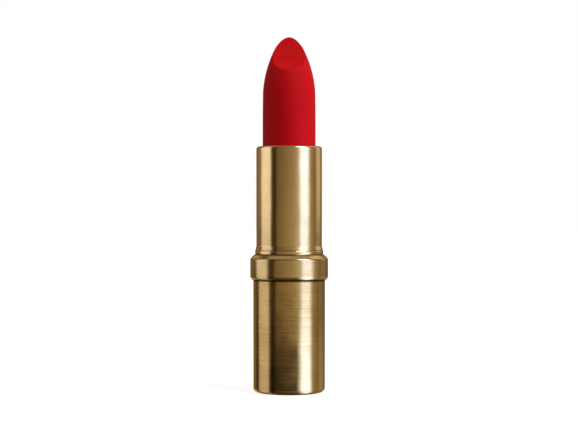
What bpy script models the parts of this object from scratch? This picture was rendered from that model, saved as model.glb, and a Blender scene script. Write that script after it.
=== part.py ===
"""Twist-up lipstick case, opened, with its bullet fully raised.

The case stands on its base, with the origin at the middle of its foot and +Z up.  The bullet's
slanted facet faces -Y.  Three bodies move against each other on the Z axis:

* the base: shell, weight, holder, slotted guide sleeve, collar
* the tube: visible tube and the spiral sleeve inside it, which turn together in the collar
* the carriage: cup, its two lug pins and the bullet, which the slots raise and lower

A lug pin passes through a straight slot of the guide sleeve and a helical slot of the spiral
sleeve, so turning the tube against the base moves the carriage along the axis.
"""

import math

import bmesh
import bpy
from mathutils import Matrix, Vector

MM = 0.001

# Driving dimensions -----------------------------------------------------------------------------

BULLET_RADIUS = 6.35 * MM  # half-inch lipstick bullet
TUBE_RADIUS = 7.87 * MM
BEAD_RADIUS = 8.2 * MM
COLLAR_RADIUS = 9.335 * MM
BASE_TOP_RADIUS = 8.615 * MM
BASE_FOOT_RADIUS = 8.575 * MM  # drawn shells taper a little

COLLAR_SEAM = 26.86 * MM  # height of the line between base and collar
COLLAR_TOP = 32.95 * MM
BEAD_FOOT = 33.1 * MM
BEAD_TOP = 33.95 * MM
TUBE_TOP = 58.85 * MM
OGIVE_START = 70.06 * MM
OGIVE_RADIUS = 27.1 * MM  # radius of the arc that the bullet's side bends inwards on

SHEET = 0.38 * MM  # wall of the drawn brass pieces
SLEEVE_WALL = 0.3 * MM  # wall of the cup and of the guide sleeve
RUNNING_GAP = 0.07 * MM  # radial clearance between sleeves
FIT_GAP = 0.1 * MM  # clearance between pieces that are pressed or stacked

TRAVEL = 27.3 * MM  # how far the carriage moves
SPIRAL_TURNS = 1.5
PIN_HEIGHT = 50.0 * MM  # height of the lug pins with the bullet fully raised
PIN_RADIUS = 0.8 * MM
SLOT_WIDTH = 1.8 * MM

OUTER_SIDES = 48  # facets round the visible pieces
INNER_SIDES = 36  # facets round the hidden pieces

# Radii of the nested sleeves, from the bullet outwards
CUP_INNER = BULLET_RADIUS + RUNNING_GAP
CUP_OUTER = CUP_INNER + 0.24 * MM
GUIDE_INNER = CUP_OUTER + RUNNING_GAP
GUIDE_OUTER = GUIDE_INNER + SLEEVE_WALL
SPIRAL_INNER = GUIDE_OUTER + RUNNING_GAP
TUBE_INNER = TUBE_RADIUS - SHEET
SPIRAL_OUTER = TUBE_INNER - RUNNING_GAP
BASE_INNER = 8.2 * MM

# Heights in the base
LABEL_RECESS = 0.3 * MM
LABEL_RADIUS = 5.4 * MM
BASE_FLOOR = 0.8 * MM
WEIGHT_FOOT = BASE_FLOOR + FIT_GAP
WEIGHT_HEIGHT = 7.1 * MM
CUSHION_HEIGHT = 1.4 * MM
HOLDER_FOOT = WEIGHT_FOOT + WEIGHT_HEIGHT + CUSHION_HEIGHT + 2 * FIT_GAP
HOLDER_TOP = 18.3 * MM
PLUG_TOP = 19.6 * MM
GUIDE_FOOT = 13.4 * MM
GUIDE_TOP = 58.3 * MM
LIP_THICKNESS = 0.3 * MM
BRAKE_SECTION = 0.3 * MM  # radius of the brake ring's round section
TUBE_FOOT = HOLDER_TOP + 2 * BRAKE_SECTION + 2 * FIT_GAP
LOCK_RING_HEIGHT = 0.8 * MM
BASE_RIM = 30.2 * MM  # top edge of the base shell, hidden in the collar
CUP_FOOT = 47.9 * MM
CUP_RIM = 57.9 * MM

# Bullet's facet: a shallow hollow cut along X
FACET_RADIUS = 23.0 * MM
FACET_CENTRE_Y = -19.15 * MM
FACET_CENTRE_Z = 95.33 * MM


# Building blocks --------------------------------------------------------------------------------


def clear_scene():
    for obj in list(bpy.data.objects):
        bpy.data.objects.remove(obj, do_unlink=True)


def new_collection(name):
    collection = bpy.data.collections.new(name)
    bpy.context.scene.collection.children.link(collection)
    return collection


def material(name, colour, metallic, roughness):
    mat = bpy.data.materials.new(name)
    mat.use_nodes = True
    shader = mat.node_tree.nodes["Principled BSDF"]
    shader.inputs["Base Color"].default_value = (*colour, 1.0)
    shader.inputs["Metallic"].default_value = metallic
    shader.inputs["Roughness"].default_value = roughness
    mat.diffuse_color = (*colour, 1.0)
    return mat


def arc(centre_r, centre_z, radius, start, end, steps):
    """Points (r, z) on a circle, from the start angle to the end angle in degrees."""
    points = []
    for i in range(steps + 1):
        angle = math.radians(start + (end - start) * i / steps)
        points.append((centre_r + radius * math.cos(angle), centre_z + radius * math.sin(angle)))
    return points


def add_object(name, mesh, mat, collection):
    obj = bpy.data.objects.new(name, mesh)
    collection.objects.link(obj)
    if mat is not None:
        mesh.materials.append(mat)
    return obj


def turned(name, outline, sides, mat, collection, closed=True):
    """A piece turned about Z: its outline (r, z) runs down its outer side, then back up inside."""
    mesh = bpy.data.meshes.new(name)
    edges = [(i, i + 1) for i in range(len(outline) - 1)]
    if closed:
        edges.append((len(outline) - 1, 0))
    mesh.from_pydata([(r, 0.0, z) for r, z in outline], edges, [])
    obj = add_object(name, mesh, mat, collection)
    screw = obj.modifiers.new("turn", "SCREW")
    screw.axis = "Z"
    screw.steps = sides
    screw.render_steps = sides
    screw.use_merge_vertices = True
    screw.merge_threshold = 1e-6
    screw.use_smooth_shade = True
    return obj


def primitive(name, make, collection):
    """A closed mesh object filled in by make(bmesh)."""
    bm = bmesh.new()
    make(bm)
    mesh = bpy.data.meshes.new(name)
    bm.to_mesh(mesh)
    bm.free()
    return add_object(name, mesh, None, collection)


def as_cutter(obj):
    obj.hide_render = True
    obj.display_type = "WIRE"
    return obj


def boolean(target, other, operation):
    mod = target.modifiers.new(operation.lower(), "BOOLEAN")
    mod.operation = operation
    mod.solver = "EXACT"
    mod.object = other
    return mod


def rod(name, radius, start_x, end_x, height, sides, collection):
    """A closed cylinder along X."""
    length = end_x - start_x
    place = Matrix.Translation(((start_x + end_x) / 2, 0, height)) @ Matrix.Rotation(math.pi / 2, 4, "Y")

    def make(bm):
        bmesh.ops.create_cone(
            bm, cap_ends=True, segments=sides, radius1=radius, radius2=radius, depth=length, matrix=place
        )

    return primitive(name, make, collection)


def straight_slot_cutter(low, high, width, collection):
    """A bar through both walls of a sleeve, along X, with half-round ends."""
    mesh = bpy.data.meshes.new("straight_slot_cutter")
    bm = bmesh.new()
    outline = [(-y, z) for y, z in arc(0, high, width / 2, 0, 180, 8)]
    outline += [(-y, z) for y, z in arc(0, low, width / 2, 180, 360, 8)]
    face = bm.faces.new([bm.verts.new((-2 * TUBE_RADIUS, y, z)) for y, z in outline])
    swept = bmesh.ops.extrude_face_region(bm, geom=[face])
    moved = [item for item in swept["geom"] if isinstance(item, bmesh.types.BMVert)]
    bmesh.ops.translate(bm, verts=moved, vec=(4 * TUBE_RADIUS, 0, 0))
    bmesh.ops.recalc_face_normals(bm, faces=bm.faces)
    bm.to_mesh(mesh)
    bm.free()
    return as_cutter(add_object("straight_slot_cutter", mesh, None, collection))


def helical_slot_cutter(name, start_angle, collection):
    """A square bar swept down a right-handed helix, as wide as the lug pin's slot."""
    inner = SPIRAL_INNER - 0.4 * MM
    outer = SPIRAL_OUTER + 0.4 * MM
    top = SLOT_WIDTH / 2
    slope = TRAVEL / (2 * math.pi * SPIRAL_TURNS)  # height gained for each radian
    overrun = top / GUIDE_OUTER  # the slot ends half a width past the pin's last place
    turns = SPIRAL_TURNS * 2 * math.pi + 2 * overrun
    steps = round(turns / (2 * math.pi) * INNER_SIDES)
    section = [(outer, top), (outer, -top), (inner, -top), (inner, top)]
    bm = bmesh.new()
    rings = []
    for i in range(steps + 1):
        angle = overrun - turns * i / steps
        height = PIN_HEIGHT + slope * angle
        turn = Matrix.Rotation(start_angle + angle, 4, "Z")
        rings.append([bm.verts.new(turn @ Vector((r, 0, height + z))) for r, z in section])
    bm.faces.new(rings[0])
    bm.faces.new(rings[-1])
    for first, second in zip(rings, rings[1:]):
        for k in range(4):
            bm.faces.new((first[k], first[k - 1], second[k - 1], second[k]))
    bmesh.ops.recalc_face_normals(bm, faces=bm.faces)
    mesh = bpy.data.meshes.new(name)
    bm.to_mesh(mesh)
    bm.free()
    return as_cutter(add_object(name, mesh, None, collection))


# Base side --------------------------------------------------------------------------------------


def make_base_shell(parts, mat):
    """Drawn cup: rounded foot, shallow recess for the label, open top inside the collar."""
    foot_round = 1.5 * MM
    inner_round = 1.0 * MM
    outline = [(BASE_TOP_RADIUS, BASE_RIM), (BASE_TOP_RADIUS, COLLAR_SEAM)]
    outline += arc(BASE_FOOT_RADIUS - foot_round, foot_round, foot_round, 0, -90, 5)
    outline += [
        (LABEL_RADIUS + 0.3 * MM, 0.0),
        (LABEL_RADIUS + 0.2 * MM, LABEL_RECESS),
        (0.0, LABEL_RECESS),
        (0.0, BASE_FLOOR),
    ]
    outline += arc(BASE_INNER - inner_round, BASE_FLOOR + inner_round, inner_round, -90, 0, 2)
    outline.append((BASE_INNER, BASE_RIM))
    # the outline meets the axis at the floor, so it is an open line from there round to there
    start = outline.index((0.0, BASE_FLOOR))
    outline = outline[start:] + outline[:start]
    return turned("base_shell", outline, OUTER_SIDES, mat, parts, closed=False)


def make_shade_label(parts, mat):
    """Blank disc, a little below the surface that it is stuck in."""
    top = LABEL_RECESS - 0.06 * MM
    bottom = top - 0.16 * MM
    outline = [(0.0, top), (LABEL_RADIUS, top), (LABEL_RADIUS, bottom), (0.0, bottom)]
    return turned("shade_label", outline, INNER_SIDES, mat, parts, closed=False)


def make_base_weight(parts, mat):
    """Steel slug with chamfered edges."""
    radius = BASE_INNER - 0.15 * MM
    top = WEIGHT_FOOT + WEIGHT_HEIGHT
    foot_chamfer = 1.1 * MM
    top_chamfer = 0.4 * MM
    outline = [
        (0.0, top),
        (radius - top_chamfer, top),
        (radius, top - top_chamfer),
        (radius, WEIGHT_FOOT + foot_chamfer),
        (radius - foot_chamfer, WEIGHT_FOOT),
        (0.0, WEIGHT_FOOT),
    ]
    return turned("base_weight", outline, INNER_SIDES, mat, parts, closed=False)


def make_weight_cushion(parts, mat):
    """Foam disc between the slug and the holder."""
    radius = BASE_INNER - 0.3 * MM
    bottom = WEIGHT_FOOT + WEIGHT_HEIGHT + FIT_GAP
    top = bottom + CUSHION_HEIGHT
    outline = [(0.0, top), (radius, top), (radius, bottom), (0.0, bottom)]
    return turned("weight_cushion", outline, INNER_SIDES, mat, parts, closed=False)


def make_base_holder(parts, cutters, mat):
    """Moulded insert: crush ribs outside, a groove that grips the guide sleeve, cored from below."""
    body_radius = BASE_INNER - 0.35 * MM
    core_radius = 5.4 * MM
    plug_radius = GUIDE_INNER - 0.06 * MM
    groove_radius = GUIDE_OUTER + 0.06 * MM
    groove_floor = GUIDE_FOOT - FIT_GAP
    floor = 1.2 * MM
    chamfer = 0.3 * MM
    outline = [
        (0.0, PLUG_TOP),
        (plug_radius - chamfer, PLUG_TOP),
        (plug_radius, PLUG_TOP - chamfer),
        (plug_radius, groove_floor),
        (groove_radius, groove_floor),
        (groove_radius, HOLDER_TOP),
        (body_radius, HOLDER_TOP),
        (body_radius, HOLDER_FOOT),
        (core_radius, HOLDER_FOOT),
        (core_radius, PLUG_TOP - floor),
        (0.0, PLUG_TOP - floor),
    ]
    holder = turned("base_holder", outline, INNER_SIDES, mat, parts, closed=False)

    rib_count = 8
    rib_radius = 0.4 * MM
    rib_reach = BASE_INNER - 0.08 * MM - rib_radius
    rib_low = HOLDER_FOOT + 0.6 * MM
    rib_high = HOLDER_TOP - 0.6 * MM

    def ribs(bm):
        for i in range(rib_count):
            angle = 2 * math.pi * (i + 0.5) / rib_count
            place = Matrix.Rotation(angle, 4, "Z") @ Matrix.Translation(
                (rib_reach, 0, (rib_low + rib_high) / 2)
            )
            bmesh.ops.create_cone(
                bm,
                cap_ends=True,
                segments=8,
                radius1=rib_radius,
                radius2=rib_radius,
                depth=rib_high - rib_low,
                matrix=place,
            )

    crush_ribs = as_cutter(primitive("crush_ribs", ribs, cutters))
    boolean(holder, crush_ribs, "UNION")
    return holder


def make_brake_ring(parts, mat):
    """Silicone ring between the holder and the turning sleeve."""
    centre_r = (SPIRAL_INNER + SPIRAL_OUTER) / 2 + 0.1 * MM
    centre_z = HOLDER_TOP + FIT_GAP + BRAKE_SECTION
    outline = arc(centre_r, centre_z, BRAKE_SECTION, 90, -270, 6)[:-1]
    return turned("brake_ring", outline, INNER_SIDES, mat, parts)


def make_guide_sleeve(parts, cutters, mat):
    """Thin sleeve with two straight slots; its lip is flared over the spiral sleeve."""
    lip_radius = SPIRAL_OUTER - 0.05 * MM
    lip_foot = GUIDE_TOP - LIP_THICKNESS
    outline = [
        (GUIDE_INNER + 0.15 * MM, GUIDE_TOP),
        (lip_radius - 0.1 * MM, GUIDE_TOP),
        (lip_radius, GUIDE_TOP - 0.1 * MM),
        (lip_radius, lip_foot),
        (GUIDE_OUTER, lip_foot),
        (GUIDE_OUTER, GUIDE_FOOT),
        (GUIDE_INNER, GUIDE_FOOT),
        (GUIDE_INNER, GUIDE_TOP - 0.15 * MM),
    ]
    sleeve = turned("guide_sleeve", outline, INNER_SIDES, mat, parts)
    slot = straight_slot_cutter(PIN_HEIGHT - TRAVEL, PIN_HEIGHT, SLOT_WIDTH, cutters)
    boolean(sleeve, slot, "DIFFERENCE")
    return sleeve


def make_collar(parts, mat):
    """Wide ring pressed over the base shell, sloped at the top and rounded below."""
    foot_round = 1.2 * MM
    shoulder_round = 0.75 * MM
    mouth = TUBE_RADIUS + 0.16 * MM
    seat = BASE_TOP_RADIUS + 0.06 * MM
    shoulder_centre = (COLLAR_RADIUS - shoulder_round, COLLAR_TOP - 1.25 * MM)
    cap_seat = (BEAD_RADIUS + 0.06 * MM, BEAD_RADIUS + 0.3 * MM)  # flat ring clear of the bead
    outline = [(radius, COLLAR_TOP) for radius in cap_seat]
    outline += arc(*shoulder_centre, shoulder_round, 50, 0, 3)
    outline += arc(COLLAR_RADIUS - foot_round, COLLAR_SEAM + foot_round, foot_round, 0, -62, 4)
    outline += [
        (seat, COLLAR_SEAM + 0.06 * MM),
        (seat, COLLAR_TOP - 0.85 * MM),
        (mouth, COLLAR_TOP - 0.85 * MM),
        (mouth, COLLAR_TOP - 0.18 * MM),
    ]
    return turned("collar", outline, OUTER_SIDES, mat, parts)


def make_collar_bush(parts, mat):
    """Nylon ring that the tube turns in, held between the shell's rim and the collar's lip."""
    inner = TUBE_RADIUS + 0.08 * MM
    flange = BASE_TOP_RADIUS - 0.05 * MM
    neck = BASE_INNER - 0.08 * MM
    top = COLLAR_TOP - 0.95 * MM
    shelf = BASE_RIM + FIT_GAP
    bottom = BASE_RIM - 2.4 * MM
    outline = [
        (inner, top),
        (flange, top),
        (flange, shelf),
        (neck, shelf),
        (neck, bottom),
        (inner, bottom),
    ]
    return turned("collar_bush", outline, OUTER_SIDES, mat, parts)


# Tube side --------------------------------------------------------------------------------------


def make_outer_tube(parts, mat):
    """Visible tube: mouth rolled inwards, half-round bead and small step at the collar."""
    mouth_round = 0.6 * MM
    mouth_radius = BULLET_RADIUS + 0.4 * MM
    step_radius = TUBE_RADIUS + 0.25 * MM
    bead_half = (BEAD_TOP - BEAD_FOOT) / 2
    outline = [(mouth_radius, TUBE_TOP - 0.12 * MM), (mouth_radius + 0.12 * MM, TUBE_TOP)]
    outline += arc(TUBE_RADIUS - mouth_round, TUBE_TOP - mouth_round, mouth_round, 90, 0, 4)
    outline += [
        (TUBE_RADIUS, BEAD_TOP + 0.75 * MM),
        (TUBE_RADIUS + 0.08 * MM, BEAD_TOP + 0.4 * MM),
        (step_radius, BEAD_TOP + 0.12 * MM),
        (step_radius - 0.05 * MM, BEAD_TOP),
    ]
    outline += arc(BEAD_RADIUS - bead_half, BEAD_FOOT + bead_half, bead_half, 60, -60, 3)
    outline += [
        (TUBE_RADIUS, BEAD_FOOT),
        (TUBE_RADIUS, TUBE_FOOT),
        (TUBE_INNER, TUBE_FOOT),
        (TUBE_INNER, TUBE_TOP - 0.7 * MM),
        (TUBE_INNER - 0.25 * MM, TUBE_TOP - 0.42 * MM),
        (mouth_radius, TUBE_TOP - 0.42 * MM),
    ]
    return turned("outer_tube", outline, OUTER_SIDES, mat, parts)


def make_spiral_sleeve(parts, cutters, mat):
    """Sleeve with two helical slots, half a turn apart."""
    top = GUIDE_TOP - LIP_THICKNESS - FIT_GAP
    bottom = TUBE_FOOT + LOCK_RING_HEIGHT + FIT_GAP
    outline = [
        (SPIRAL_INNER, top),
        (SPIRAL_OUTER, top),
        (SPIRAL_OUTER, bottom),
        (SPIRAL_INNER, bottom),
    ]
    sleeve = turned("spiral_sleeve", outline, INNER_SIDES, mat, parts)
    for name, start_angle in (("spiral_cutter_a", 0.0), ("spiral_cutter_b", math.pi)):
        boolean(sleeve, helical_slot_cutter(name, start_angle, cutters), "DIFFERENCE")
    return sleeve


def make_lock_ring(parts, mat):
    """Ring pressed into the tube's foot under the spiral sleeve."""
    top = TUBE_FOOT + LOCK_RING_HEIGHT
    outline = [
        (SPIRAL_INNER, top),
        (SPIRAL_OUTER, top),
        (SPIRAL_OUTER, TUBE_FOOT + 0.05 * MM),
        (SPIRAL_INNER, TUBE_FOOT + 0.05 * MM),
    ]
    return turned("lock_ring", outline, INNER_SIDES, mat, parts)


# Carriage ---------------------------------------------------------------------------------------


def make_cup(parts, cutters, mat):
    """Drawn cup with a filling hole in its floor and a hole each side for the lug pins."""
    floor = 0.3 * MM
    filling_hole = 1.5 * MM
    foot_chamfer = 0.25 * MM
    outline = [
        (CUP_INNER, CUP_RIM),
        (CUP_OUTER, CUP_RIM),
        (CUP_OUTER, CUP_FOOT + foot_chamfer),
        (CUP_OUTER - foot_chamfer, CUP_FOOT),
        (filling_hole, CUP_FOOT),
        (filling_hole, CUP_FOOT + floor),
        (CUP_INNER, CUP_FOOT + floor),
    ]
    cup = turned("cup", outline, INNER_SIDES, mat, parts)
    hole = rod("pin_hole_cutter", 0.55 * MM, -2 * TUBE_RADIUS, 2 * TUBE_RADIUS, PIN_HEIGHT, 12, cutters)
    boolean(cup, as_cutter(hole), "DIFFERENCE")
    return cup


def make_cup_pin(name, side, parts, mat):
    """Stepped lug along X: a thin shank in the cup's wall and a head that runs in both slots."""
    shank_radius = 0.48 * MM
    shank_start = CUP_INNER - 0.02 * MM
    head_start = CUP_OUTER + 0.02 * MM
    head_end = SPIRAL_OUTER - 0.02 * MM
    chamfer = 0.1 * MM
    outline = [
        (0.0, head_end),
        (PIN_RADIUS - chamfer, head_end),
        (PIN_RADIUS, head_end - chamfer),
        (PIN_RADIUS, head_start),
        (shank_radius, head_start),
        (shank_radius, shank_start),
        (0.0, shank_start),
    ]
    pin = turned(name, outline, 12, mat, parts, closed=False)
    pin.rotation_euler = (0.0, side * math.pi / 2, 0.0)
    return pin


def make_bullet(parts, cutters, mat):
    """Cylinder that bends inwards on a circular arc, then the slanted facet cut across it."""
    foot = CUP_FOOT + 0.3 * MM + 0.08 * MM
    apex_angle = math.degrees(math.acos(1 - BULLET_RADIUS / OGIVE_RADIUS))
    side = arc(BULLET_RADIUS - OGIVE_RADIUS, OGIVE_START, OGIVE_RADIUS, apex_angle, 0, 10)
    outline = [(0.0, side[0][1])] + side[1:]
    outline += [(BULLET_RADIUS, foot + 0.3 * MM), (BULLET_RADIUS - 0.3 * MM, foot), (0.0, foot)]
    bullet = turned("bullet", outline, OUTER_SIDES, mat, parts, closed=False)

    place = Matrix.Translation((0, FACET_CENTRE_Y, FACET_CENTRE_Z)) @ Matrix.Rotation(math.pi / 2, 4, "Y")

    def facet(bm):
        bmesh.ops.create_cone(
            bm,
            cap_ends=True,
            segments=96,
            radius1=FACET_RADIUS,
            radius2=FACET_RADIUS,
            depth=4 * BULLET_RADIUS,
            matrix=place,
        )

    cutter = as_cutter(primitive("facet_cutter", facet, cutters))
    boolean(bullet, cutter, "DIFFERENCE")
    return bullet


# Assembly ---------------------------------------------------------------------------------------


def make_empty(name, location, parent, collection):
    empty = bpy.data.objects.new(name, None)
    empty.empty_display_size = 5 * MM
    empty.location = location
    empty.parent = parent
    collection.objects.link(empty)
    return empty


def attach(empty, pieces):
    """Parent the pieces to the empty, keeping them where they are."""
    height = empty.matrix_world.translation
    for piece in pieces:
        piece.parent = empty
        piece.location = piece.location - height


def main():
    clear_scene()
    parts = new_collection("lipstick_case")
    cutters = new_collection("cutters")

    satin_brass = material("satin_brass", (0.60, 0.43, 0.20), 1.0, 0.30)
    brushed_brass = material("brushed_brass", (0.56, 0.40, 0.18), 1.0, 0.36)
    plain_brass = material("plain_brass", (0.62, 0.47, 0.24), 1.0, 0.35)
    steel = material("steel", (0.45, 0.45, 0.46), 1.0, 0.40)
    white_plastic = material("white_plastic", (0.82, 0.82, 0.80), 0.0, 0.45)
    nylon = material("nylon", (0.70, 0.68, 0.62), 0.0, 0.50)
    silicone = material("silicone", (0.25, 0.25, 0.26), 0.0, 0.60)
    foam = material("foam", (0.12, 0.12, 0.13), 0.0, 0.95)
    paper = material("label_paper", (0.80, 0.74, 0.62), 0.0, 0.70)
    lipstick_red = material("lipstick_red", (0.55, 0.01, 0.015), 0.0, 0.55)

    base_side = [
        make_base_shell(parts, brushed_brass),
        make_shade_label(parts, paper),
        make_base_weight(parts, steel),
        make_weight_cushion(parts, foam),
        make_base_holder(parts, cutters, white_plastic),
        make_brake_ring(parts, silicone),
        make_guide_sleeve(parts, cutters, plain_brass),
        make_collar(parts, satin_brass),
        make_collar_bush(parts, nylon),
    ]
    tube_side = [
        make_outer_tube(parts, satin_brass),
        make_spiral_sleeve(parts, cutters, plain_brass),
        make_lock_ring(parts, plain_brass),
    ]
    carriage_side = [
        make_cup(parts, cutters, plain_brass),
        make_cup_pin("cup_pin_right", 1, parts, plain_brass),
        make_cup_pin("cup_pin_left", -1, parts, plain_brass),
        make_bullet(parts, cutters, lipstick_red),
    ]
    for pin in carriage_side[1:3]:
        pin.location = (0.0, 0.0, PIN_HEIGHT)

    case = make_empty("case", (0, 0, 0), None, parts)
    twist_axis = make_empty("twist_axis", (0, 0, 0), case, parts)
    lift_axis = make_empty("lift_axis", (0, 0, PIN_HEIGHT), case, parts)
    bpy.context.view_layer.update()
    attach(case, base_side)
    attach(twist_axis, tube_side)
    attach(lift_axis, carriage_side)


main()
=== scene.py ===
"""Looks for the twist-up lipstick case: satin and brushed brass, and a matte red bullet."""

import math

import bmesh
import bpy
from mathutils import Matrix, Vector


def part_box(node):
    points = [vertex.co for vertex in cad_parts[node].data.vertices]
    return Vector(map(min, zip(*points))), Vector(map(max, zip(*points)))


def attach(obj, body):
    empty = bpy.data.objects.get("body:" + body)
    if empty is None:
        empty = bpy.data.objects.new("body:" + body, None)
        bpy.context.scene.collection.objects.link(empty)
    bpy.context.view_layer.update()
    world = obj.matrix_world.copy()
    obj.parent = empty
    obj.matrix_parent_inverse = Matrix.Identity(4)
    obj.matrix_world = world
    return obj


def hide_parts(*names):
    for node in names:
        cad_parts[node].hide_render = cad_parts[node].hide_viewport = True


MM = 0.001
SIDES = 192  # facets round the visible turned pieces
FILLET_STEP = math.radians(10)  # how far a fillet turns from one of its points to the next
HOLD = 0.03 * MM  # from a fillet's end to the extra point on the flat beside it
SHORTEST_FLAT = 6 * HOLD  # a shorter flat has no room for its extra points
SHARP = math.radians(40)  # edges that bend more than this stay sharp

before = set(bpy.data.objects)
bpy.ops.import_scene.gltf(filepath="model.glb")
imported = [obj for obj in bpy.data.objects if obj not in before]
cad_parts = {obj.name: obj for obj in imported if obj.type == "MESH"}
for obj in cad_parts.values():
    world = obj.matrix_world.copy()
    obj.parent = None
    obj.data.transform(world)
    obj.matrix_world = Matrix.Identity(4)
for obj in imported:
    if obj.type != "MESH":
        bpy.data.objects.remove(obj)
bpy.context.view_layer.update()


# Outlines and meshes ----------------------------------------------------------------------------


def rounded(corners):
    """Outline (r, z) round the corners (r, z, radius), each turned on its own radius.

    A point just before and just after each turn keeps the flats shading flat.
    """
    outline = []
    for i, (r, z, radius) in enumerate(corners):
        here = Vector((r, z))
        if radius == 0:
            outline.append(here)
            continue
        before = Vector(corners[i - 1][:2])
        after = Vector(corners[(i + 1) % len(corners)][:2])
        back = (before - here).normalized()
        ahead = (after - here).normalized()
        half = back.angle(ahead) / 2
        cut = radius / math.tan(half)
        centre = here + (back + ahead).normalized() * (radius / math.sin(half))
        start = here + back * cut - centre
        end = here + ahead * cut - centre
        if (before - here).length > cut + SHORTEST_FLAT:
            outline.append(here + back * (cut + HOLD))
        steps = max(2, math.ceil((math.pi - 2 * half) / FILLET_STEP))
        turn = start.angle_signed(end)
        for k in range(steps + 1):
            angle = -turn * k / steps
            cos, sin = math.cos(angle), math.sin(angle)
            spoke = Vector((start.x * cos - start.y * sin, start.x * sin + start.y * cos))
            outline.append(centre + spoke)
        if (after - here).length > cut + SHORTEST_FLAT:
            outline.append(here + ahead * (cut + HOLD))
    return outline


def new_piece(name, bm):
    """An object from a bmesh, faces out, smooth but for its sharp edges."""
    bmesh.ops.recalc_face_normals(bm, faces=bm.faces)
    mesh = bpy.data.meshes.new(name)
    bm.to_mesh(mesh)
    bm.free()
    mesh.shade_smooth()
    mesh.set_sharp_from_angle(angle=SHARP)
    obj = bpy.data.objects.new(name, mesh)
    bpy.context.scene.collection.objects.link(obj)
    return obj


def skin(bm, rings, closed):
    """Faces between rings of vertices; a ring of one vertex is a point on the axis."""
    pairs = list(zip(rings, rings[1:]))
    if closed:
        pairs.append((rings[-1], rings[0]))
    for first, second in pairs:
        count = max(len(first), len(second))
        for k in range(count):
            n = (k + 1) % count
            corners = [first[k % len(first)], first[n % len(first)]]
            corners += [second[n % len(second)], second[k % len(second)]]
            unique = list(dict.fromkeys(corners))
            if len(unique) > 2:
                bm.faces.new(unique)


def ring_of(bm, r, z, side=1):
    """A ring of vertices about the case's axis; side is -1 for one that runs the other way."""
    angles = [math.tau * k / SIDES for k in range(SIDES)]
    return [bm.verts.new((r * math.cos(angle), side * r * math.sin(angle), z)) for angle in angles]


def turned(name, outline, closed=True):
    """A piece turned about the case's axis from its outline (r, z)."""
    bm = bmesh.new()
    rings = []
    for r, z in outline:
        if r == 0:
            rings.append([bm.verts.new((0.0, 0.0, z))])
        else:
            rings.append(ring_of(bm, r, z))
    skin(bm, rings, closed)
    return new_piece(name, bm)


def stands_for(piece, node, body, mat):
    """The finer piece takes the CAD node's place on its body."""
    piece.data.materials.append(mat)
    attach(piece, body)
    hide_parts(node)


# Materials --------------------------------------------------------------------------------------


def new_material(name):
    """A material with its node tree and its shader."""
    mat = bpy.data.materials.new(name)
    mat.use_nodes = True
    tree = mat.node_tree
    return mat, tree, tree.nodes["Principled BSDF"]


def link_math(tree, operation, first, second=None, third=None):
    """The result of a Math node; each value is a number or a socket."""
    node = tree.nodes.new("ShaderNodeMath")
    node.operation = operation
    for socket, value in zip(node.inputs, (first, second, third)):
        if value is None:
            continue
        if isinstance(value, (int, float)):
            socket.default_value = value
        else:
            tree.links.new(value, socket)
    return node.outputs[0]


def sum_of(tree, first, second, share):
    """first plus share times second."""
    return link_math(tree, "MULTIPLY_ADD", second, share, first)


def map_range(tree, value, start, end, low, high, kind="LINEAR"):
    """The value taken from the range start to end to the range low to high."""
    node = tree.nodes.new("ShaderNodeMapRange")
    node.interpolation_type = kind
    node.inputs["From Min"].default_value = start
    node.inputs["From Max"].default_value = end
    node.inputs["To Min"].default_value = low
    node.inputs["To Max"].default_value = high
    tree.links.new(value, node.inputs["Value"])
    return node.outputs["Result"]


def fade(tree, value, start, end, low=0.0):
    """A soft step from low to 1 as the value goes from start to end."""
    return map_range(tree, value, start, end, low, 1.0, "SMOOTHSTEP")


def spread(tree, value, low, high, start=0.3, end=0.7):
    """A noise value, most of which lies between start and end, brought to the range low to high."""
    return map_range(tree, value, start, end, low, high)


def noise(tree, stretch, detail=3.0, roughness=0.55):
    """Noise in object space; stretch is how many features to the metre along X, Y and Z."""
    place = tree.nodes.new("ShaderNodeTexCoord")
    mapping = tree.nodes.new("ShaderNodeMapping")
    mapping.inputs["Scale"].default_value = stretch
    tex = tree.nodes.new("ShaderNodeTexNoise")
    tex.inputs["Scale"].default_value = 1.0
    tex.inputs["Detail"].default_value = detail
    tex.inputs["Roughness"].default_value = roughness
    tree.links.new(place.outputs["Object"], mapping.inputs["Vector"])
    tree.links.new(mapping.outputs["Vector"], tex.inputs["Vector"])
    return tex.outputs["Fac"]


def mix_colours(tree, factor, first, second):
    """The blend of two colours, each given as numbers or as a socket."""
    node = tree.nodes.new("ShaderNodeMix")
    node.data_type = "RGBA"
    tree.links.new(factor, node.inputs[0])
    for colour, socket in ((first, node.inputs[6]), (second, node.inputs[7])):
        if isinstance(colour, tuple):
            socket.default_value = (*colour, 1.0)
        else:
            tree.links.new(colour, socket)
    return node.outputs[2]


def bump(tree, shader, height, depth):
    """Surface relief: a height value of 1 stands depth metres proud."""
    node = tree.nodes.new("ShaderNodeBump")
    node.inputs["Strength"].default_value = 1.0
    node.inputs["Distance"].default_value = depth
    tree.links.new(height, node.inputs["Height"])
    tree.links.new(node.outputs["Normal"], shader.inputs["Normal"])


def height_of(tree):
    """The point's height in object space."""
    place = tree.nodes.new("ShaderNodeTexCoord")
    split = tree.nodes.new("ShaderNodeSeparateXYZ")
    tree.links.new(place.outputs["Object"], split.inputs["Vector"])
    return split.outputs["Z"]


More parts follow.
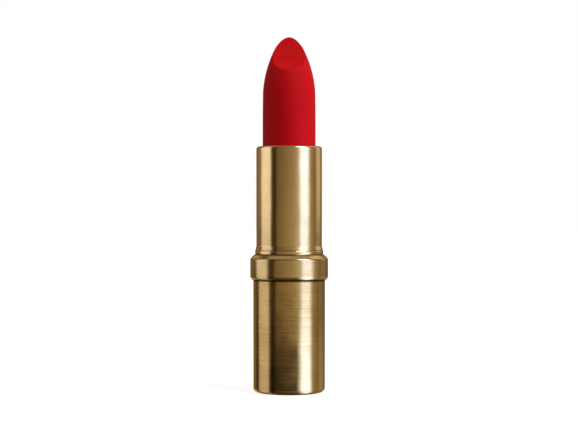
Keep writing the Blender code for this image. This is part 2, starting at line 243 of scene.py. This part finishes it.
def with_painted_shade(tree, colour, painted_shade_bands):
    """The colour darkened by painted shade in bands round the axis, at creases, seams and edges.

    A band is its height and its reach up and down, in mm, and the share of light left in it.
    """
    height = height_of(tree)
    core = 0.3  # the part of the reach that is fully dark
    left = 1.0
    for z, reach, share in painted_shade_bands:
        off = link_math(tree, "ABSOLUTE", link_math(tree, "SUBTRACT", height, z * MM))
        here = fade(tree, off, core * reach * MM, reach * MM, share)
        left = link_math(tree, "MULTIPLY", here, left)
    scale = tree.nodes.new("ShaderNodeVectorMath")
    scale.operation = "SCALE"
    tree.links.new(colour, scale.inputs[0])
    tree.links.new(left, scale.inputs["Scale"])
    return scale.outputs[0]


def brass(name, light, dark, roughness, brush, brush_depth, streak, dull, painted_shade_bands=(), rubbed=None):
    """Brass brushed round the axis: fine rings, streaks, stains and slightly wavy flats.

    brush is how many streaks to the metre; brush_depth is in mm; streak is how much they show
    against the stains; dull is how much less metallic the dullest streak is. rubbed is a pair of
    heights in mm: the brushing is rubbed down below the first and whole above the second.
    """
    mat, tree, shader = new_material(name)
    finer = 3.5  # how much finer the rings are than the streaks
    ring_share = 0.6  # how much the rings count against the streaks
    rubbed_share = 0.35  # what is left of the brushing where it is rubbed down
    wave_depth = 0.07  # mm
    streaks = noise(tree, (110, 110, brush), detail=4.0, roughness=0.65)
    rings = noise(tree, (40, 40, brush * finer), detail=3.0, roughness=0.7)
    stains = noise(tree, (150, 150, 90), detail=4.0)
    waves = noise(tree, (200, 200, 130), detail=1.0)
    lines = sum_of(tree, streaks, rings, ring_share)
    usual = 0.5 * (1 + ring_share)  # what the lines are about, since each noise is about 0.5
    shade = sum_of(tree, stains, lines, streak)
    middle = 0.5 + usual * streak
    reach = 0.1 + 0.1 * streak
    tone = spread(tree, shade, 0.0, 1.0, middle - reach, middle + reach)
    colour = mix_colours(tree, tone, dark, light)
    # painted shade: the colour is darkened in bands at the given heights
    if painted_shade_bands:
        colour = with_painted_shade(tree, colour, painted_shade_bands)
    tree.links.new(colour, shader.inputs["Base Color"])
    polish = spread(tree, lines, 0.88 * roughness, 1.15 * roughness, usual - 0.2, usual + 0.2)
    tree.links.new(polish, shader.inputs["Roughness"])
    metal = spread(tree, lines, 1.0 - dull, 1.0, usual - 0.15, usual + 0.15)
    tree.links.new(metal, shader.inputs["Metallic"])
    shader.inputs["Specular Tint"].default_value = (0.86, 0.68, 0.42, 1.0)  # keeps its edges gold
    relief = link_math(tree, "MULTIPLY", lines, brush_depth)
    if rubbed:
        start, end = rubbed
        whole = fade(tree, height_of(tree), start * MM, end * MM, rubbed_share)
        relief = link_math(tree, "MULTIPLY", relief, whole)
    bump(tree, shader, sum_of(tree, relief, waves, wave_depth), MM)
    return mat


def lipstick(name):
    """Matte wax: deep red with faint clouds in it and a very fine grain."""
    mat, tree, shader = new_material(name)
    deep = (0.64, 0.0034, 0.006)
    bright = (0.70, 0.006, 0.0095)
    cloud = noise(tree, (220, 220, 140), detail=4.0)
    grain = noise(tree, (5200, 5200, 5200), detail=3.0)
    colour = mix_colours(tree, spread(tree, cloud, 0.0, 1.0), deep, bright)
    tree.links.new(colour, shader.inputs["Base Color"])
    tree.links.new(spread(tree, cloud, 0.56, 0.64), shader.inputs["Roughness"])
    shader.inputs["Specular IOR Level"].default_value = 0.07
    bump(tree, shader, grain, 0.006 * MM)
    return mat


def plain(name, light, dark, roughness, metallic=0.0, scale=400, relief=0.01 * MM):
    """Moulded, stamped or paper pieces that show little: soft mottling and a fine grain.

    scale is how many mottles to the metre; relief is the grain's depth.
    """
    mat, tree, shader = new_material(name)
    fine = 9 * scale
    mottle = noise(tree, (scale, scale, scale), detail=4.0)
    grain = noise(tree, (fine, fine, fine), detail=2.0)
    colour = mix_colours(tree, spread(tree, mottle, 0.0, 1.0), dark, light)
    tree.links.new(colour, shader.inputs["Base Color"])
    tree.links.new(spread(tree, mottle, roughness * 0.9, roughness * 1.1), shader.inputs["Roughness"])
    shader.inputs["Metallic"].default_value = metallic
    bump(tree, shader, grain, relief)
    return mat


satin_brass = brass(
    "satin_brass",
    light=(0.87, 0.66, 0.36),
    dark=(0.81, 0.60, 0.31),
    roughness=0.15,
    brush=1500,
    brush_depth=0.0015,
    streak=0.6,
    dull=0.02,
    # painted shade: dark bands at the collar's foot, shoulder edge and top, and the tube's groove over
    # the bead
    painted_shade_bands=[
        (27.0, 0.28, 0.16),  # painted shade at the collar's foot
        (31.93, 0.22, 0.6),  # painted shade at the edge of its shoulder
        (32.92, 0.24, 0.5),  # painted shade at its top, under the bead
        (34.0, 0.16, 0.8),  # painted shade in the groove over the bead
    ],
)
brushed_brass = brass(
    "brushed_brass",
    light=(0.872, 0.636, 0.315),
    dark=(0.748, 0.523, 0.236),
    roughness=0.145,
    brush=2100,
    brush_depth=0.0053,
    streak=1.0,
    dull=0.03,
    painted_shade_bands=[(26.82, 0.28, 0.20)],  # painted shade along the seam with the collar
    rubbed=(8.0, 20.0),
)
plain_brass = brass(
    "plain_brass",
    light=(0.80, 0.62, 0.34),
    dark=(0.70, 0.52, 0.26),
    roughness=0.32,
    brush=1200,
    brush_depth=0.004,
    streak=1.0,
    dull=0.05,
)
lipstick_red = lipstick("lipstick_red")
steel = plain("steel", (0.50, 0.50, 0.51), (0.38, 0.38, 0.39), 0.38, metallic=1.0)
white_plastic = plain("white_plastic", (0.82, 0.82, 0.80), (0.76, 0.76, 0.74), 0.45)
nylon = plain("nylon", (0.74, 0.72, 0.66), (0.66, 0.64, 0.58), 0.5)
silicone = plain("silicone", (0.27, 0.27, 0.28), (0.22, 0.22, 0.23), 0.6)
foam = plain("foam", (0.14, 0.14, 0.15), (0.09, 0.09, 0.10), 0.95, scale=1500, relief=0.08 * MM)
label_paper = plain("label_paper", (0.84, 0.80, 0.71), (0.79, 0.75, 0.66), 0.7, scale=900)


# Pieces -----------------------------------------------------------------------------------------


def make_base_shell():
    """Brushed cup on a rounded foot, with the label's recess under it."""
    low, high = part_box("base_shell")
    top_radius = high.x
    foot_radius = top_radius - 0.04 * MM  # the cup is a hair narrower at its foot
    inner = 8.2 * MM
    floor = low.z + 0.8 * MM
    rim = 0.1 * MM
    foot_rounding = 1.15 * MM
    recess = 5.6 * MM
    recess_top = low.z + 0.3 * MM
    outline = rounded(
        [
            (0.0, floor, 0),
            (inner, floor, 1.0 * MM),
            (inner, high.z, rim),
            (top_radius, high.z, rim),
            (foot_radius, low.z, foot_rounding),
            (recess, low.z, 0.08 * MM),
            (recess, recess_top, 0.05 * MM),
            (0.0, recess_top, 0),
        ]
    )
    return turned("base_shell_fine", outline, closed=False)


def make_shade_label():
    """Blank disc in the recess under the base."""
    low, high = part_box("shade_label")
    radius = high.x
    edge = 0.04 * MM
    outline = rounded(
        [(0.0, high.z, 0), (radius, high.z, edge), (radius, low.z, edge), (0.0, low.z, 0)]
    )
    return turned("shade_label_fine", outline, closed=False)


def make_collar():
    """Wide ring: sloped shoulder with a soft edge, deep rounding underneath."""
    low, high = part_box("collar")
    radius = high.x
    seat = 8.675 * MM  # where the ring meets the base shell
    mouth = 8.03 * MM
    flat = 8.42 * MM  # the level top ends here
    rim = 0.1 * MM
    shoulder = high.z - 1.0 * MM
    ledge = high.z - 0.85 * MM
    ledge_edge = 0.05 * MM
    slit_top = low.z + 0.5 * MM  # of the thin slit between the ring's foot and the base shell
    outline = rounded(
        [
            (mouth, high.z, rim),
            (flat, high.z, rim),
            (radius, shoulder, 0.45 * MM),
            (radius, low.z, 0.85 * MM),
            (seat + 0.16 * MM, low.z, 0.05 * MM),
            (seat + 0.10 * MM, slit_top, 0.04 * MM),
            (seat, slit_top, 0.02 * MM),
            (seat, ledge, ledge_edge),
            (mouth, ledge, ledge_edge),
        ]
    )
    return turned("collar_fine", outline)


def make_outer_tube():
    """Satin tube: mouth rolled in, a flare, a fine groove and a rounded bead at the collar."""
    low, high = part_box("outer_tube")
    radius = 7.87 * MM
    inner = 7.49 * MM
    mouth = 6.75 * MM
    mouth_edge = 0.18 * MM
    lip = high.z - 0.42 * MM  # the underside of the rolled-in mouth
    foot_edge = 0.08 * MM
    bead_foot = 33.0 * MM
    bead_top = 33.95 * MM
    flare = radius + 0.25 * MM
    groove = radius + 0.16 * MM
    outline = rounded(
        [
            (mouth, high.z, mouth_edge),
            (radius, high.z, 0.6 * MM),
            (radius, bead_top + 0.98 * MM, 0.8 * MM),
            (flare, bead_top + 0.12 * MM, 0.10 * MM),
            (groove, bead_top + 0.02 * MM, 0.05 * MM),
            (high.x, bead_top - 0.05 * MM, 0.28 * MM),
            (high.x, bead_foot, 0.2 * MM),
            (radius, bead_foot, 0.03 * MM),
            (radius, low.z, foot_edge),
            (inner, low.z, foot_edge),
            (inner, lip, 0.2 * MM),
            (mouth, lip, mouth_edge),
        ]
    )
    return turned("outer_tube_fine", outline)


def make_bullet():
    """A grid of rays from inside the bullet, to its bent side and its hollow facet, then its foot."""
    low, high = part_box("bullet")
    radius = high.x
    ogive_start = low.z + 21.78 * MM
    ogive_radius = 27.1 * MM
    facet_radius = 23.0 * MM
    facet_y, facet_z = -19.15 * MM, 95.33 * MM
    soft = 0.22 * MM  # how soft the facet's edge is
    tip_y = 1.6 * MM  # the tip lies behind the axis, where the facet meets the side
    heart = Vector((0.0, 0.3 * MM, 72.0 * MM))  # where the rays start
    rows = 110
    crowding = 1.25  # above 1, the rings of rays crowd towards the tip
    longest = 20 * MM  # past the farthest of the surface that the rays reach
    halvings = 22  # steps that close in on the surface
    waist = heart.z - 6 * MM  # below the rays, where the side is plain
    edge = 0.3 * MM
    tilt = math.atan2(tip_y - heart.y, high.z - heart.z)
    up = Vector((0.0, math.sin(tilt), math.cos(tilt)))
    across = Vector((1.0, 0.0, 0.0))
    back = up.cross(across)

    def outside(x, y, z):
        """How far a point stands out: the worse of the side and the facet, blended at the edge."""
        r = math.hypot(x, y)
        if z < ogive_start:
            side = r - radius
        else:
            side = math.hypot(r - radius + ogive_radius, z - ogive_start) - ogive_radius
        facet = facet_radius - math.hypot(y - facet_y, z - facet_z)
        share = max(soft - abs(side - facet), 0.0) / soft
        return max(side, facet) + share * share * soft / 4

    def reach(direction):
        """Where a ray from the heart meets the bullet's surface."""
        dx, dy, dz = direction
        near, far = 0.0, longest
        for _ in range(halvings):
            t = (near + far) / 2
            if outside(heart.x + dx * t, heart.y + dy * t, heart.z + dz * t) > 0:
                far = t
            else:
                near = t
        return heart + direction * near

    bm = bmesh.new()
    rings = [[bm.verts.new(reach(up))]]
    for i in range(1, rows + 1):
        polar = math.pi / 2 * (i / rows) ** crowding
        ring = []
        for k in range(SIDES):
            azimuth = math.tau * k / SIDES
            flat = across * math.cos(azimuth) + back * math.sin(azimuth)
            ring.append(bm.verts.new(reach(up * math.cos(polar) + flat * math.sin(polar))))
        rings.append(ring)
    side = -1 if back.y < 0 else 1  # the lower rings turn the same way as the rays
    for r, z in ((radius, waist), (radius, low.z + edge), (radius - edge, low.z)):
        rings.append(ring_of(bm, r, z, side))
    rings.append([bm.verts.new((0.0, 0.0, low.z))])
    skin(bm, rings, closed=False)
    return new_piece("bullet_fine", bm)


stands_for(make_base_shell(), "base_shell", "base", brushed_brass)
stands_for(make_shade_label(), "shade_label", "base", label_paper)
stands_for(make_collar(), "collar", "base", satin_brass)
stands_for(make_outer_tube(), "outer_tube", "tube", satin_brass)
stands_for(make_bullet(), "bullet", "carriage", lipstick_red)

node_materials = {
    "base_weight": steel,
    "weight_cushion": foam,
    "base_holder": white_plastic,
    "brake_ring": silicone,
    "guide_sleeve": plain_brass,
    "collar_bush": nylon,
    "spiral_sleeve": plain_brass,
    "lock_ring": plain_brass,
    "cup": plain_brass,
    "cup_pin_right": plain_brass,
    "cup_pin_left": plain_brass,
}
for node, mat in node_materials.items():
    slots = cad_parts[node].data.materials
    for i in range(len(slots)):
        slots[i] = mat


# Studio -----------------------------------------------------------------------------------------


def fanned(angle, lean):
    """Azimuth mirrored by a face that leans down by lean, where an upright one mirrors angle."""
    half = math.radians(angle / 2)
    flat = math.cos(math.radians(lean)) ** 2
    aside = flat * math.sin(2 * half)
    ahead = 2 * flat * math.cos(half) ** 2 - 1
    return math.degrees(math.atan2(aside, ahead))


def studio_row(
    tan=(0.395, 0.388, 0.390),
    fill=1.0,
    key=(0.62, 0.66, 1.08),
    left=1.0,
    right=1.0,
    back=1.0,
    lean=0,
):
    """Stops (azimuth, colour) of one row of cards: 0 is -Y, where the camera is, and + is +X.

    tan and key are the colours of the card on the left and the bright one on the right. fill,
    left, right and back are shares of the usual light between the two, past each and at the back.
    lean fans the cards out, so that they run straight down a rounded edge that leans so far.
    """
    edge = [0.40 * key[0], 0.38 * key[1], 0.24 * key[2]]
    far_edge = [0.58 * key[0], 0.60 * key[1], 0.48 * key[2]]
    behind = [back * value for value in (0.050, 0.040, 0.025)]
    stops = [
        (-152, back, (0.094, 0.079, 0.054)),
        (-124, left, (0.115, 0.080, 0.045)),
        (-117, left, (0.160, 0.120, 0.080)),
        (-109, 0.93, tan),
        (-103, 1.0, tan),
        (-72, 1.0, tan),
        (-63, fill, (0.022, 0.012, 0.004)),
        (-49, fill, (0.014, 0.007, 0.002)),
        (-41, fill, (0.060, 0.045, 0.021)),
        (-16, fill, (0.086, 0.065, 0.034)),
        (12, fill, (0.118, 0.094, 0.057)),
        (26, fill, (0.150, 0.128, 0.082)),
        (34, 1.0, edge),
        (44, 1.0, key),
        (66, 1.0, key),
        (73, 1.0, far_edge),
        (81, 1.0, (0.130, 0.105, 0.065)),
        (104, 1.0, (0.076, 0.053, 0.023)),
        (117, right, (0.240, 0.215, 0.185)),
        (136, right, (0.250, 0.215, 0.190)),
        (152, back, (0.060, 0.045, 0.030)),
    ]
    row = [(fanned(angle, lean), [share * value for value in colour]) for angle, share, colour in stops]
    return [(-180, behind), *row, (180, behind)]


def even_row(colour):
    """Stops of a row that is the same all round."""
    return [(-180, colour), (180, colour)]


def card_row(tree, azimuth, stops):
    """The row's colour at an azimuth in degrees."""
    ramp = tree.nodes.new("ShaderNodeValToRGB")
    tree.links.new(map_range(tree, azimuth, -180, 180, 0.0, 1.0), ramp.inputs["Fac"])
    elements = ramp.color_ramp.elements
    elements.remove(elements[-1])
    for i, (angle, colour) in enumerate(stops):
        element = elements[0] if i == 0 else elements.new((angle + 180) / 360)
        element.position = (angle + 180) / 360
        element.color = (*colour, 1.0)
    return ramp.outputs["Color"]


def make_world():
    """A studio of soft cards round the case, in rows from the floor up to the ceiling."""
    world = bpy.data.worlds.new("studio")
    bpy.context.scene.world = world
    world.use_nodes = True
    tree = world.node_tree
    tree.nodes.clear()
    place = tree.nodes.new("ShaderNodeTexCoord")
    split = tree.nodes.new("ShaderNodeSeparateXYZ")
    tree.links.new(place.outputs["Generated"], split.inputs["Vector"])
    x, y, z = split.outputs
    degrees = 180 / math.pi
    azimuth = link_math(tree, "ARCTAN2", x, link_math(tree, "MULTIPLY", y, -1.0))
    azimuth = link_math(tree, "MULTIPLY", azimuth, degrees)
    elevation = link_math(tree, "MULTIPLY", link_math(tree, "ARCSINE", z), degrees)

    low_tan = (0.25, 0.225, 0.19)
    low_key = (0.56, 0.64, 1.0)
    foot_tan = (0.215, 0.190, 0.155)
    foot_key = (0.60, 0.71, 1.25)
    base_tan = (0.240, 0.220, 0.205)
    base_key = (0.34, 0.39, 0.43)
    upper_tan = (0.32, 0.30, 0.29)
    upper_key = (0.62, 0.66, 1.0)
    top_key = (5.6, 5.4, 5.8)
    floor_row = even_row((0.02, 0.015, 0.010))
    # Rows from the floor up: the elevation where each starts and where it is full, and its stops
    rows = [
        (-70, -58, studio_row((0.14, 0.12, 0.09), 0.2, low_key, 0.2, 0.3, lean=35)),
        (-54, -44, studio_row((0.20, 0.18, 0.15), 0.4, low_key, 0.2, 0.4, lean=27)),
        (-40, -30, studio_row(low_tan, 0.5, low_key, 0.2, 0.4, back=3.0, lean=18)),
        (-25, -17, studio_row(low_tan, 0.55, low_key, 0.2, 0.4, back=3.0, lean=10)),
        (-15, -11, studio_row(foot_tan, 0.0, foot_key, 0.12, 0.5, back=1.2)),
        (-5.0, -3.3, studio_row(base_tan, 1.6, base_key, 0.25, 0.25)),
        (-1.1, -0.1, studio_row()),
        (10, 16, studio_row(upper_tan, 1.0, upper_key, left=0.3, back=2.0)),
        (40, 46, studio_row((0.07, 0.065, 0.06), 0.4, top_key, left=0.3, back=2.0)),
        (50, 62, even_row((0.12, 0.11, 0.09))),
    ]
    colour = card_row(tree, azimuth, floor_row)
    for start, full, stops in rows:
        row = card_row(tree, azimuth, stops)
        colour = mix_colours(tree, fade(tree, elevation, start, full), colour, row)

    background = tree.nodes.new("ShaderNodeBackground")
    background.inputs["Strength"].default_value = 2.7
    tree.links.new(colour, background.inputs["Color"])
    white = tree.nodes.new("ShaderNodeBackground")
    white.inputs["Color"].default_value = (1, 1, 1, 1)
    path = tree.nodes.new("ShaderNodeLightPath")
    choose = tree.nodes.new("ShaderNodeMixShader")
    tree.links.new(path.outputs["Is Camera Ray"], choose.inputs[0])
    tree.links.new(background.outputs[0], choose.inputs[1])
    tree.links.new(white.outputs[0], choose.inputs[2])
    output = tree.nodes.new("ShaderNodeOutputWorld")
    tree.links.new(choose.outputs[0], output.inputs["Surface"])


def make_floor():
    """Pale disc with a glow of its own; the case neither mirrors it nor takes light from it."""
    floor_radius = 4.0
    bm = bmesh.new()
    bmesh.ops.create_circle(bm, cap_ends=True, segments=96, radius=floor_radius)
    floor = new_piece("floor", bm)
    mat, _, shader = new_material("floor_white")
    shader.inputs["Base Color"].default_value = (0.4, 0.4, 0.4, 1.0)
    shader.inputs["Roughness"].default_value = 0.9
    shader.inputs["Specular IOR Level"].default_value = 0.0
    shader.inputs["Emission Color"].default_value = (1.0, 1.0, 1.0, 1.0)
    shader.inputs["Emission Strength"].default_value = 0.86
    floor.data.materials.append(mat)
    floor.location.z = -0.01 * MM  # just clear of the case's foot
    floor.visible_glossy = False
    floor.visible_diffuse = False


def make_camera():
    """Level, in front of the case and about half as high, looking along +Y."""
    distance = 372 * MM
    height = 42.2 * MM
    aside = -0.03 * MM
    frame_width = 138.72 * MM  # what the picture spans at the case's axis
    data = bpy.data.cameras.new("camera")
    data.sensor_width = 36.0
    data.lens = data.sensor_width * distance / frame_width
    data.clip_start = 0.01
    camera = bpy.data.objects.new("camera", data)
    camera.location = (aside, -distance, height)
    camera.rotation_euler = (math.pi / 2, 0.0, 0.0)
    bpy.context.scene.collection.objects.link(camera)
    bpy.context.scene.camera = camera


make_world()
make_floor()
make_camera()
bpy.context.scene.view_settings.view_transform = "Standard"
